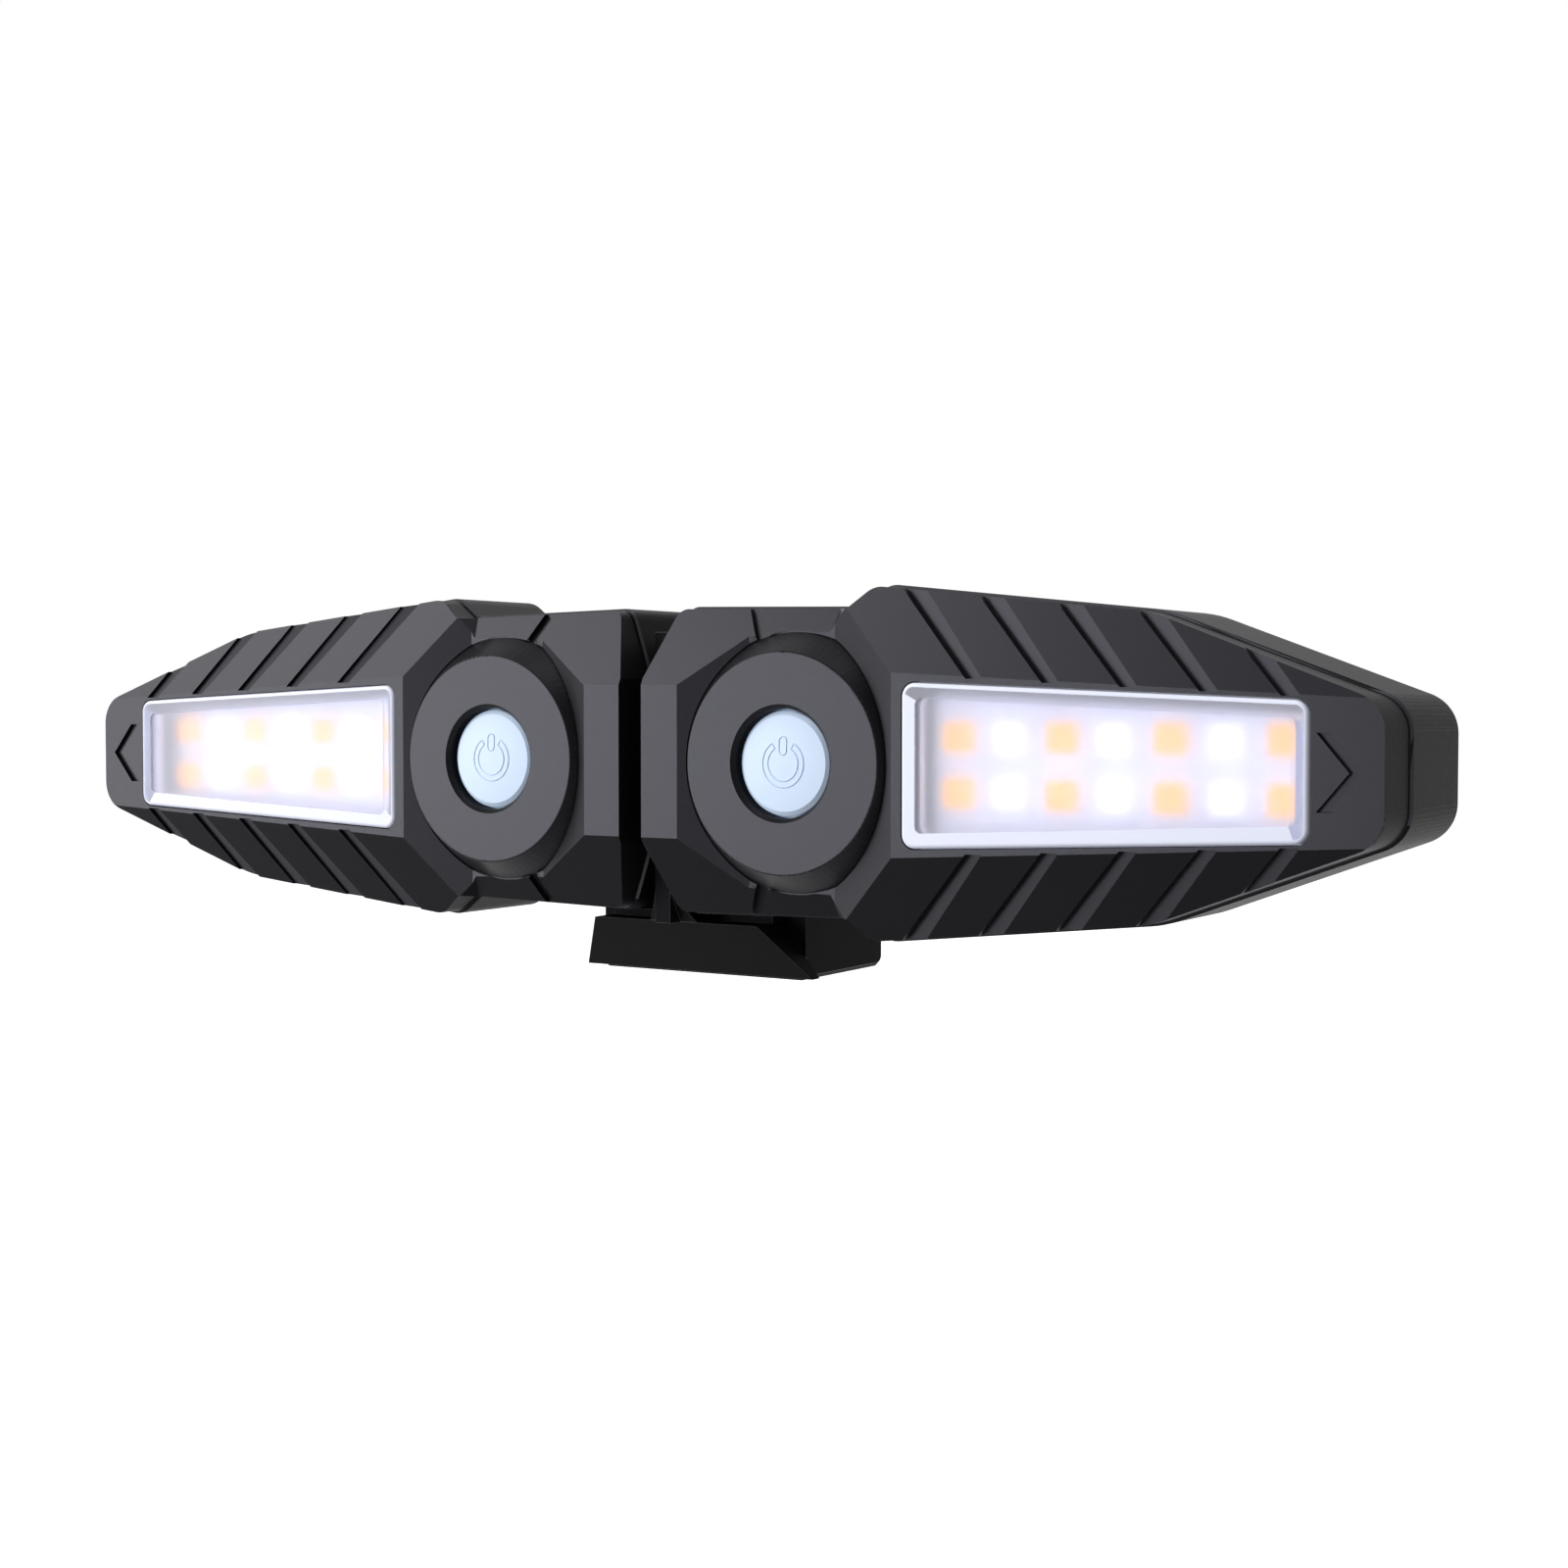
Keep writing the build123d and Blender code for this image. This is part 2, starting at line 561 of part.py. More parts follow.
def flap_slot():
    """Open groove that the flap's round root lies in."""
    x, depth = flap_axis_place()
    radius, half = FLAP_PIN_RADIUS + RUN_GAP, FLAP_LONG / 2 + FLAP_GAP
    slot = block(x - radius, x + radius, -half, half, depth, CASE_DEPTH + OVERRUN)
    return upright_rod(x, depth, radius, half) + slot


def along_x(start, end, radius):
    """Round rod along X on the cell's axis."""
    place = Location(((start + end) / 2, y_at(CELL_AXIS_DEPTH), 0), (0, 90, 0))
    return place * Cylinder(radius, end - start)


def board_post_places():
    """(x, z) of the control board's posts, above the middle line."""
    inset = POST_BOSS_RADIUS * 1.5
    z = MAIN_BOARD_HALF - inset
    return [(MAIN_BOARD_IN_X + inset, z), (MAIN_BOARD_OUT_X - inset * 2, z - inset)]


def led_post_places():
    """(x, z) of the diode board's posts, above the middle line."""
    z = CELL_RADIUS + TOUCH_GAP * 2 + LED_POST_RADIUS * 1.5
    outer = LENS_OUT_X - LED_BOARD_MARGIN - LED_POST_RADIUS * 2
    return [(LENS_IN_X + LED_BOARD_MARGIN + LED_POST_RADIUS * 2, z), (outer, z - LED_POST_RADIUS)]


def cradle_places():
    """x of the two cradles under the cell."""
    share = 0.24
    return [CELL_START_X + CELL_LENGTH * share, CELL_START_X + CELL_LENGTH * (1 - share)]


def cover_gasket():
    """Flat seal between the two covers, just inside their outline."""
    start, end = FRONT_COVER_BACK, REAR_COVER_FRONT
    ring = drafted_case(start, end, -GASKET_INSET, TIP_DRAFT, TIP_DRAFT)
    ring -= drafted_case(start - OVERRUN, end + OVERRUN, -GASKET_INSET - GASKET_WIDTH, TIP_DRAFT, TIP_DRAFT)
    for x, z in screw_places():
        ring -= rod(x, z, SCREW_RADIUS + SCREW_HOLE_GAP, start - OVERRUN, end + OVERRUN)
    return ring


def lens():
    """Translucent window with a raised lip and a flange behind the cover."""
    flange_start = WALL + LENS_GASKET_THICK
    body = lens_prism(0, -LENS_PROUD, flange_start)
    body = fillet(body.faces().sort_by(Axis.Y)[0].outer_wire().edges(), LENS_EDGE_FILLET)
    body += lens_prism(LENS_FLANGE, flange_start, flange_start + LENS_FLANGE_THICK)
    body -= lens_prism(-LENS_LIP, -LENS_PROUD - OVERRUN, LENS_LIP_HEIGHT - LENS_PROUD)
    body -= lens_prism(-LENS_LIP, WALL, flange_start + LENS_FLANGE_THICK + OVERRUN)
    return body


def lens_gasket():
    """Thin foam ring between the lens flange and the front cover."""
    ring = lens_prism(LENS_FLANGE, WALL, WALL + LENS_GASKET_THICK)
    return ring - lens_prism(FIT_GAP, WALL - OVERRUN, WALL + OVERRUN)


def led_places(amber):
    """(x, z) of the amber or the white diodes: the columns take turns, amber at both ends."""
    columns = range(0 if amber else 1, LED_COLUMNS, 2)
    return [(LED_FIRST_X + column * LED_PITCH, side * LED_ROW_HALF) for column in columns for side in (1, -1)]


def leds(amber):
    """Square diode packages with a round window in each face."""
    half = LED_SIZE / 2
    top = LED_BOARD_DEPTH - LED_HEIGHT
    packages = []
    for x, z in led_places(amber):
        package = block(x - half, x + half, z - half, z + half, top, LED_BOARD_DEPTH)
        packages.append(package - rod(x, z, LED_WINDOW_RADIUS, top - OVERRUN, top + LED_WINDOW_DEEP))
    return Compound(children=packages)


def led_board():
    """Circuit board that carries the diodes, held on four posts."""
    return lens_prism(-LED_BOARD_MARGIN, LED_BOARD_DEPTH, LED_BOARD_DEPTH + BOARD_THICK)


def control_board():
    """Circuit board behind the button."""
    corner = POST_BOSS_RADIUS * 2
    body = block(MAIN_BOARD_IN_X, MAIN_BOARD_OUT_X, -MAIN_BOARD_HALF, MAIN_BOARD_HALF,
                 MAIN_BOARD_DEPTH, MAIN_BOARD_DEPTH + BOARD_THICK)
    return chamfer(body.edges().filter_by(Axis.Y), corner)


def radio_module():
    """Receiver chip for the remote control, on the control board."""
    half = RADIO_SIZE / 2
    top = MAIN_BOARD_DEPTH - RADIO_HEIGHT
    body = block(RADIO_X - half, RADIO_X + half, -half, half, top, MAIN_BOARD_DEPTH)
    return chamfer(body.faces().sort_by(Axis.Y)[0].edges(), RADIO_HEIGHT / 4)


def switch_top():
    """Depth of the front face of the switch casing."""
    return MAIN_BOARD_DEPTH - SWITCH_HEIGHT


def switch_body():
    """Push switch casing with a blind hole for its plunger."""
    half = SWITCH_SIZE / 2
    body = block(DISC_X - half, DISC_X + half, -half, half, switch_top(), MAIN_BOARD_DEPTH)
    body = chamfer(body.edges().filter_by(Axis.Y), SWITCH_SIZE / 12)
    return body - rod(DISC_X, 0, PLUNGER_RADIUS + RUN_GAP, switch_top() - OVERRUN,
                      switch_top() + PLUNGER_TAIL + BUTTON_TRAVEL + RUN_GAP)


def switch_plunger():
    """Plunger that the button's stem pushes into the switch."""
    return rod(DISC_X, 0, PLUNGER_RADIUS, STEM_END_DEPTH, switch_top() + PLUNGER_TAIL)


def bezel_ring():
    """Round bezel: flat face, conical flank, neck on the cover's shelf, pocket for the button."""
    lip = BUTTON_LIP_DEPTH
    points = [(BUTTON_HOLE_RADIUS, -DISC_PROUD), (DISC_RADIUS, -DISC_PROUD), (CONE_RADIUS, CONE_DEPTH),
              (BEZEL_NECK_RADIUS, CONE_DEPTH), (BEZEL_NECK_RADIUS, BEZEL_SEAT_DEPTH),
              (BUTTON_POCKET_RADIUS, BEZEL_SEAT_DEPTH), (BUTTON_POCKET_RADIUS, lip),
              (BUTTON_HOLE_RADIUS, lip)]
    ring = turned(points)
    face = ring.faces().sort_by(Axis.Y)[0]
    ring = chamfer(face.inner_wires()[0].edges(), BUTTON_HOLE_CHAMFER)
    face = ring.faces().sort_by(Axis.Y)[0]
    return fillet(face.outer_wire().edges(), DISC_EDGE_FILLET)


def power_button():
    """Domed cap with a retaining flange and a stem."""
    flange_top = BUTTON_LIP_DEPTH + BUTTON_FLANGE_GAP
    flange_end = flange_top + BUTTON_FLANGE_THICK
    rim = BUTTON_RIM_DEPTH
    crown = rim - BUTTON_CROWN
    dome_start = BUTTON_RADIUS - BUTTON_CROWN
    base = [(dome_start, rim - BUTTON_CROWN / 3), (BUTTON_RADIUS, rim + BUTTON_CROWN / 2),
            (BUTTON_RADIUS, flange_top), (BUTTON_FLANGE_RADIUS, flange_top),
            (BUTTON_FLANGE_RADIUS, flange_end), (STEM_RADIUS, flange_end), (STEM_RADIUS, STEM_END_DEPTH),
            (0, STEM_END_DEPTH), (0, crown)]
    corners = [(DISC_X + radius, y_at(depth), 0) for radius, depth in base]
    half_way = (DISC_X + dome_start / 2, y_at(crown + BUTTON_CROWN / 6), 0)
    dome = ThreePointArc(corners[-1], half_way, corners[0])
    rim_edge = Polyline(*corners)
    profile = make_face(Curve() + [rim_edge, dome])
    return revolve(profile, axis=Axis((DISC_X, 0, 0), (0, 1, 0)))


def battery_cell():
    """Cylindrical cell with a raised contact at its outer end."""
    end = CELL_START_X + CELL_LENGTH
    can = along_x(CELL_START_X, end - CELL_CAP_LENGTH, CELL_RADIUS)
    can = fillet(can.edges().filter_by(GeomType.CIRCLE), CELL_CAP_LENGTH / 2)
    return can + along_x(end - CELL_CAP_LENGTH * 2, end, CELL_CAP_RADIUS)


def charging_socket():
    """Metal sleeve of the charging port with its contact tongue."""
    start, end = MAIN_BOARD_DEPTH + BOARD_THICK, FLOOR_DEPTH - PORT_RECESS
    sleeve = port_opening(start, end, 0) - port_opening(start + PORT_SHORT, end + OVERRUN, -PORT_WALL)
    tongue_half = PORT_LONG / 2 - PORT_WALL * 4
    return sleeve + block(PORT_X - PORT_TONGUE / 2, PORT_X + PORT_TONGUE / 2, -tongue_half, tongue_half,
                          start + PORT_SHORT / 2, end - PORT_SHORT / 2)


def port_flap():
    """Soft flap over the charging port: plate, short plug and the round root it turns on."""
    x, depth = flap_axis_place()
    plate = flap_plate(0, CASE_DEPTH - FLAP_THICK + TOUCH_GAP)
    plug = port_opening(CASE_DEPTH - FLAP_THICK - FLAP_PLUG_DEEP, CASE_DEPTH - FLAP_THICK / 2, -FLAP_PLUG_GAP)
    root = upright_rod(x, depth, FLAP_PIN_RADIUS, FLAP_PIN_HALF)
    neck = block(PORT_X, x, -FLAP_PIN_HALF, FLAP_PIN_HALF, CASE_DEPTH - FLAP_THICK / 2, CASE_DEPTH)
    return plate + plug + root + neck


def cover_screws():
    """Four long screws from the back, with a cross cut in each head."""
    screws = []
    head_back = CASE_DEPTH - SCREW_HEAD_SUNK
    for x, z in screw_places():
        head = rod(x, z, SCREW_HEAD_RADIUS, head_back - SCREW_HEAD_THICK, head_back)
        shank = rod(x, z, SCREW_RADIUS, SCREW_TIP_DEPTH, head_back - SCREW_HEAD_THICK / 2)
        screws.append(head + shank - cross(x, z, SCREW_HEAD_RADIUS, head_back, SCREW_HEAD_THICK / 2))
    return Compound(children=screws)


def cross(x, z, reach, back, deep):
    """Cross recess of a screw head."""
    reach = reach * 0.62
    half = SCREW_SLOT / 2
    return (block(x - reach, x + reach, z - half, z + half, back - deep, back + OVERRUN)
            + block(x - half, x + half, z - reach, z + reach, back - deep, back + OVERRUN))


def plate_screw_places():
    """(x, z) of the four screws that hold the lamp halves to the bracket."""
    return [(x * PLATE_SCREW_X, z * PLATE_SCREW_HALF) for x in (1, -1) for z in (1, -1)]


def bracket_screws():
    """Four screws through the bracket plate, one pair into each lamp half."""
    screws = []
    plate_back = CASE_DEPTH + PLATE_THICK
    back = plate_back + PLATE_SCREW_HEAD_THICK
    for x, z in plate_screw_places():
        head = rod(x, z, PLATE_SCREW_HEAD_RADIUS, plate_back, back)
        shank = rod(x, z, PLATE_SCREW_RADIUS, plate_back - PLATE_SCREW_LENGTH,
                    plate_back + PLATE_SCREW_HEAD_THICK / 2)
        screws.append(head + shank - cross(x, z, PLATE_SCREW_HEAD_RADIUS, back, PLATE_SCREW_HEAD_THICK / 2))
    return Compound(children=screws)


def bracket_plate():
    """Flat back plate, narrowed at its lower end to the saddle's width."""
    points = [(PLATE_HALF_WIDTH, PLATE_TOP), (PLATE_HALF_WIDTH, PLATE_BOTTOM + PLATE_TAPER),
              (SADDLE_HALF_WIDTH, PLATE_BOTTOM)]
    outline = points + [(-x, z) for x, z in reversed(points)]
    plate = prism(outline, CASE_DEPTH, CASE_DEPTH + PLATE_THICK)
    return fillet(plate.edges().filter_by(Axis.Y), PLATE_CORNER)


def slab(top, bottom, back):
    """Solid between a sloping four-cornered face, from (half width, depth, z) of two edges, and a depth."""
    rims = []
    for move_back in (False, True):
        corners = [(side * half, y_at(back if move_back else depth), z)
                   for side, (half, depth, z) in ((-1, top), (1, top), (1, bottom), (-1, bottom))]
        rims.append(Polyline(*corners, close=True).wire())
    return Solid.make_loft(rims, ruled=True)


def bracket_foot():
    """Flared foot below the lamp halves, the neck behind its top, and the flare under the spine."""
    foot = slab((FOOT_TOP_HALF, FOOT_TOP_DEPTH, FOOT_TOP), (FOOT_BOTTOM_HALF, FOOT_BOTTOM_DEPTH, FOOT_BOTTOM),
                FOOT_BACK_DEPTH)
    flare = slab((SPINE_HALF, SPINE_DEPTH, FLARE_TOP), (FLARE_HALF, FOOT_TOP_DEPTH, FOOT_TOP),
                 FLARE_BACK_DEPTH)
    neck = block(-NECK_HALF, NECK_HALF, NECK_BOTTOM, NECK_TOP, NECK_DEPTH, CASE_DEPTH)
    return foot + flare + neck


def bracket_spine():
    """Thin web in the gap between the lamp halves."""
    return block(-SPINE_HALF, SPINE_HALF, FOOT_TOP, SPINE_TOP, SPINE_DEPTH, CASE_DEPTH + PLATE_THICK / 2)


def bracket_saddle():
    """Block behind the plate with a base under the lamp halves, hollowed for the post pad."""
    back = CASE_DEPTH + PLATE_THICK + SADDLE_DEPTH
    middle = CASE_DEPTH + PLATE_THICK / 2
    saddle = block(-SADDLE_HALF_WIDTH, SADDLE_HALF_WIDTH, PLATE_BOTTOM - OVERRUN, SADDLE_TOP, middle, back)
    saddle += block(-SADDLE_HALF_WIDTH, SADDLE_HALF_WIDTH, BASE_BOTTOM, NECK_TOP, BASE_DEPTH, back)
    low_edges = saddle.edges().filter_by(Axis.X).group_by(Axis.Z)[0]
    saddle = fillet(low_edges.sort_by(Axis.Y)[-1], BASE_ROUND)
    rear_edges = saddle.edges().filter_by(Axis.Z).group_by(Axis.Y)[-1]
    saddle = chamfer(rear_edges, SADDLE_CORNER)
    return saddle - Cylinder(SADDLE_RADIUS, SADDLE_TOP * 4)


def strap_pegs():
    """Headed pegs on both sides of the saddle."""
    head_start = SADDLE_HALF_WIDTH + STRAP_THICK + STRAP_SIDE_GAP * 2
    peg_start = SADDLE_HALF_WIDTH - PEG_RADIUS / 2
    pegs = []
    for side in (1, -1):
        for radius, start, end in ((PEG_RADIUS, peg_start, head_start + PEG_HEAD_THICK / 2),
                                   (PEG_HEAD_RADIUS, head_start, head_start + PEG_HEAD_THICK)):
            place = Location((side * (start + end) / 2, PEG_Y, 0), (0, 90, 0))
            pegs.append(place * Cylinder(radius, end - start))
    return pegs


def mounting_bracket():
    """One moulding: plate, flared foot, spine, saddle and strap pegs."""
    bracket = bracket_plate() + bracket_foot() + bracket_spine() + bracket_saddle() + strap_pegs()
    for x, z in plate_screw_places():
        bracket -= rod(x, z, PLATE_SCREW_RADIUS + SCREW_HOLE_GAP,
                       CASE_DEPTH - OVERRUN, CASE_DEPTH + PLATE_THICK + OVERRUN)
    return bracket


def ring_sector(inner, outer, half_height, half_angle):
    """Part of a ring about the post's axis, centred on the lamp's side."""
    ring = Cylinder(outer, half_height * 2) - Cylinder(inner, half_height * 2 + OVERRUN)
    reach = outer * 2
    side = reach * math.sin(math.radians(half_angle))
    depth = -reach * math.cos(math.radians(half_angle))
    low = -half_height - OVERRUN
    window = make_face(Polyline((0, 0, low), (side, depth, low), (side, -reach * 2, low),
                                (-side, -reach * 2, low), (-side, depth, low), close=True))
    return ring & extrude(window, amount=half_height * 2 + OVERRUN * 2, dir=(0, 0, 1))


def post_pad():
    """Rubber pad in the saddle, grooved across on its outer face for grip."""
    pad = ring_sector(POST_RADIUS, SADDLE_RADIUS - TOUCH_GAP, PAD_HALF_HEIGHT, PAD_HALF_ANGLE)
    pitch = PAD_HALF_HEIGHT * 2 / (PAD_RIB_COUNT + 1)
    for index in range(PAD_RIB_COUNT):
        z = -PAD_HALF_HEIGHT + pitch * (index + 1)
        groove = Cylinder(SADDLE_RADIUS + OVERRUN, PAD_RIB_WIDTH)
        groove -= Cylinder(SADDLE_RADIUS - PAD_RIB_DEEP, PAD_RIB_WIDTH)
        pad -= Location((0, 0, z)) * groove
    return pad


def post_strap():
    """Stretchy strap round the back of the post, hooked on the bracket's two pegs."""
    inner, outer = POST_RADIUS, POST_RADIUS + STRAP_THICK
    leg_in = SADDLE_HALF_WIDTH + STRAP_SIDE_GAP
    leg_out = leg_in + STRAP_THICK
    low = -STRAP_HALF
    ring = Cylinder(outer, STRAP_HALF * 2) - Cylinder(inner, STRAP_HALF * 2 + OVERRUN)
    ring &= Location((0, outer, 0)) * Box(outer * 3, outer * 2, STRAP_HALF * 3)
    strap = ring
    for side in (1, -1):
        leg = Polyline((side * inner, 0, low), (side * leg_in, STRAP_SHOULDER_Y, low),
                       (side * leg_in, STRAP_END_Y, low), (side * leg_out, STRAP_END_Y, low),
                       (side * leg_out, STRAP_SHOULDER_Y, low),
                       (side * outer, 0, low), close=True)
        band = extrude(make_face(leg), amount=STRAP_HALF * 2, dir=(0, 0, 1))
        band = fillet(band.edges().filter_by(Axis.X).sort_by(Axis.Y)[:2], STRAP_END_RADIUS)
        strap += band
    for y in (PEG_Y, STRAP_SPARE_Y):
        for side in (1, -1):
            place = Location((side * (leg_in + leg_out) / 2, y, 0), (0, 90, 0))
            strap -= place * Cylinder(PEG_RADIUS + RUN_GAP, STRAP_THICK * 3)
    return strap


HALF_PIECES = {
    "front_cover": front_cover,
    "rear_cover": rear_cover,
    "cover_gasket": cover_gasket,
    "lens": lens,
    "lens_gasket": lens_gasket,
    "led_board": led_board,
    "amber_leds": lambda: leds(True),
    "white_leds": lambda: leds(False),
    "bezel_ring": bezel_ring,
    "power_button": power_button,
    "switch_plunger": switch_plunger,
    "switch_body": switch_body,
    "control_board": control_board,
    "radio_module": radio_module,
    "battery_cell": battery_cell,
    "charging_socket": charging_socket,
    "port_flap": port_flap,
    "cover_screws": cover_screws,
}
CENTRE_PIECES = {
    "mounting_bracket": mounting_bracket,
    "bracket_screws": bracket_screws,
    "post_pad": post_pad,
    "post_strap": post_strap,
}

os.makedirs("parts", exist_ok=True)
for name, make in HALF_PIECES.items():
    right = make()
    export_step(right, f"parts/right_{name}.step")
    export_step(mirror(right, about=Plane.YZ), f"parts/left_{name}.step")
for name, make in CENTRE_PIECES.items():
    export_step(make(), f"parts/{name}.step")
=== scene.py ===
import math

import bmesh
import bpy
import numpy as np
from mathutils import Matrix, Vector


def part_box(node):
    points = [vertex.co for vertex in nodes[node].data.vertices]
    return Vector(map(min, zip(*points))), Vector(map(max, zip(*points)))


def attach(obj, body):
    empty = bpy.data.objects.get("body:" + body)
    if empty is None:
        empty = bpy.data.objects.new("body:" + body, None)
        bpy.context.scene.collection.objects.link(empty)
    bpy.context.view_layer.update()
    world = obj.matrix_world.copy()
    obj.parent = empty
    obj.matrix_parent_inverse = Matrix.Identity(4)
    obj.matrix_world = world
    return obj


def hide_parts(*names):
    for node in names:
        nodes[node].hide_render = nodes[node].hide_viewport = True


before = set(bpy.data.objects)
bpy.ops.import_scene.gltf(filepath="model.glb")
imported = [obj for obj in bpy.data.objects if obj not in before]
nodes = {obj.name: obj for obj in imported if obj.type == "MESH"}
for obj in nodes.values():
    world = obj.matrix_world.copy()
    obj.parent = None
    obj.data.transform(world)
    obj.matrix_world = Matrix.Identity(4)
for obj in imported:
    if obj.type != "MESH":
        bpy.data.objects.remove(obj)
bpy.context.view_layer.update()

MM = 0.001
SIDES = {"right": 1.0, "left": -1.0}      # each lamp half's sign along the width

# Front and rear covers. Two faceted shells per lamp half, injection moulded in black ABS and screwed
# together. The tool was spark-eroded on the broad faces. Walls and undersides take a duller copy of
# the plastic as painted shade. The edges are slightly rounded, and those rounds carry a painted
# highlight: they are painted paler than the faces, so they show as thin pale lines.
MIX_LOW, MIX_HIGH, MIX_COLOUR = 6, 7, 2   # a Mix node's two colour inputs and its colour output
PLASTIC_IOR = 1.5
SHEEN_TINT = "#eff0ff"    # the sheen on the lamp's plastics is faintly cold
CLOUD_MM = 18.0           # width of the faint clouds that the flow of the melt leaves
CLOUD_DETAIL = 3.0        # steps of finer noise in the clouds
GRAIN_DETAIL = 2.0        # and in the grain
GLOSS_SPREAD = 0.06      # high spots of the grain are this much rougher, low ones this much smoother
MERGE_MM = 0.002          # corners nearer to each other than this are one
FLAT_DEG = 0.8            # neighbours that turn by less are one flat facet
SHARP_DEG = 14.0          # an edge that turns by more is rounded
FACET_DEG = 3.0           # and so is one that turns by more than this between two large facets
FACET_MM2 = 2.5           # least area of a large facet
FACING_DOWN = -0.25       # a normal whose upright part is below this faces down
FACE, EDGE, WALL = 0, 1, 2                # material slots of a rounded piece
ROUND_STEPS = 2
FACET_WEIGHT = 80         # how much a large facet keeps its own normal beside a small round
FRONT_ROUND_MM = 0.2
REAR_ROUND_MM = 0.16
REAR_WALL_SHARE = 0.7     # high enough for the rear cover's slanted rims to count as walls


def linear(hex_colour, alpha=1.0):
    """sRGB hex text to a linear colour: c/12.92 below 0.04045, else ((c + 0.055)/1.055)^2.4."""
    parts = [int(hex_colour[i:i + 2], 16) / 255 for i in (1, 3, 5)]
    return [c / 12.92 if c <= 0.04045 else ((c + 0.055) / 1.055) ** 2.4 for c in parts] + [alpha]


def dial(node, **settings):
    """Sets a node's properties or inputs by name, with an underscore for a space."""
    for name, value in settings.items():
        if hasattr(node, name):
            setattr(node, name, value)
        else:
            node.inputs[name.replace("_", " ")].default_value = value


def add(tree, kind, links=None, **settings):
    """Adds one node with its settings, and links its inputs, by name or number, to other sockets."""
    node = tree.nodes.new(kind)
    dial(node, **settings)
    for name, socket in (links or {}).items():
        tree.links.new(socket, node.inputs[name])
    return node


def blank(name):
    """A new material with a Principled shader, its node tree and the shader."""
    material = bpy.data.materials.new(name)
    material.use_nodes = True
    tree = material.node_tree
    tree.nodes.clear()
    shader = add(tree, "ShaderNodeBsdfPrincipled")
    add(tree, "ShaderNodeOutputMaterial", {"Surface": shader.outputs["BSDF"]})
    return material, tree, shader


def cloudy(tree, place, cloud_mm, detail, low, high):
    """Colour that drifts between low and high in soft clouds of cloud_mm."""
    cloud = add(tree, "ShaderNodeTexNoise", {"Vector": place}, Scale=1 / (cloud_mm * MM), Detail=detail)
    tone = add(tree, "ShaderNodeMix", {"Factor": cloud.outputs["Fac"]}, data_type="RGBA")
    tone.inputs[MIX_LOW].default_value = low
    tone.inputs[MIX_HIGH].default_value = high
    return tone.outputs[MIX_COLOUR]


def moulded(name, shade, roughness, grain_mm=0.5, relief_mm=0.001, mottle=0.12, specular=0.35,
            painted_glow="#ffffff", painted_glow_strength=0.0):
    """Moulded plastic: a grain of grain_mm across and relief_mm high under a faint cloudy tone.

    The tone drifts by the mottle share round the shade. Real grain is about 0.05 mm across, which
    is too fine for the render, so it is drawn several times as coarse.
    """
    material, tree, shader = blank(name)
    place = add(tree, "ShaderNodeTexCoord").outputs["Object"]
    base = linear(shade)
    low = [c * (1 - mottle) for c in base[:3]] + [1.0]
    high = [c * (1 + mottle) for c in base[:3]] + [1.0]
    tree.links.new(cloudy(tree, place, CLOUD_MM, CLOUD_DETAIL, low, high), shader.inputs["Base Color"])
    grain = add(tree, "ShaderNodeTexNoise", {"Vector": place}, Scale=1 / (grain_mm * MM),
                Detail=GRAIN_DETAIL).outputs["Fac"]
    bump = add(tree, "ShaderNodeBump", {"Height": grain}, Strength=1.0, Distance=relief_mm * MM)
    tree.links.new(bump.outputs["Normal"], shader.inputs["Normal"])
    gloss = add(tree, "ShaderNodeMapRange", {"Value": grain}, To_Min=roughness - GLOSS_SPREAD,
                To_Max=roughness + GLOSS_SPREAD)
    tree.links.new(gloss.outputs["Result"], shader.inputs["Roughness"])
    # The glow, where one is given, is painted light in a part that is no lamp.
    dial(shader, IOR=PLASTIC_IOR, Specular_IOR_Level=specular, Specular_Tint=linear(SHEEN_TINT),
         Emission_Color=linear(painted_glow), Emission_Strength=painted_glow_strength)
    return material


def softened(node, round_mm, face, edge, wall=None, wall_share=0.35):
    """Copy of a CAD node with its edges rounded, which replaces it on the housing.

    An edge is rounded where it turns by more than SHARP_DEG, or by more than FACET_DEG between two
    facets larger than FACET_MM2, so that a curved wall stays smooth. Where less than wall_share of a
    face's normal lies along the depth, or where it faces down, it takes the wall material: painted shade.
    """
    mesh = nodes[node].data.copy()
    mesh.name = node + "_soft"
    mesh.materials.clear()
    for finish in filter(None, (face, edge, wall)):
        mesh.materials.append(finish)
    work = bmesh.new()
    work.from_mesh(mesh)
    bmesh.ops.remove_doubles(work, verts=work.verts, dist=MERGE_MM * MM)
    bmesh.ops.dissolve_limit(work, angle_limit=math.radians(FLAT_DEG), verts=work.verts,
                             edges=work.edges)
    weight = work.edges.layers.float.new("bevel_weight_edge")
    for seam in work.edges:
        turn = math.degrees(seam.calc_face_angle(0))
        between_facets = min(facet.calc_area() for facet in seam.link_faces) > FACET_MM2 * MM * MM
        seam[weight] = float(turn > SHARP_DEG or (between_facets and turn > FACET_DEG))
    for facet in work.faces:
        facet.smooth = True
        # Walls and faces that point down get the painted shade of the wall material.
        gets_painted_shade = abs(facet.normal.y) < wall_share or facet.normal.z < FACING_DOWN
        facet.material_index = WALL if wall and gets_painted_shade else FACE
    work.to_mesh(mesh)
    work.free()
    piece = bpy.data.objects.new(node + "_soft", mesh)
    bpy.context.collection.objects.link(piece)
    bevel = piece.modifiers.new("edge_round", "BEVEL")
    bevel.width = round_mm * MM
    bevel.segments = ROUND_STEPS
    bevel.limit_method = "WEIGHT"
    bevel.material = EDGE
    bevel.use_clamp_overlap = True
    normals = piece.modifiers.new("facet_normals", "WEIGHTED_NORMAL")
    normals.weight = FACET_WEIGHT
    normals.keep_sharp = True
    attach(piece, "housing")
    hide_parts(node)
    return piece


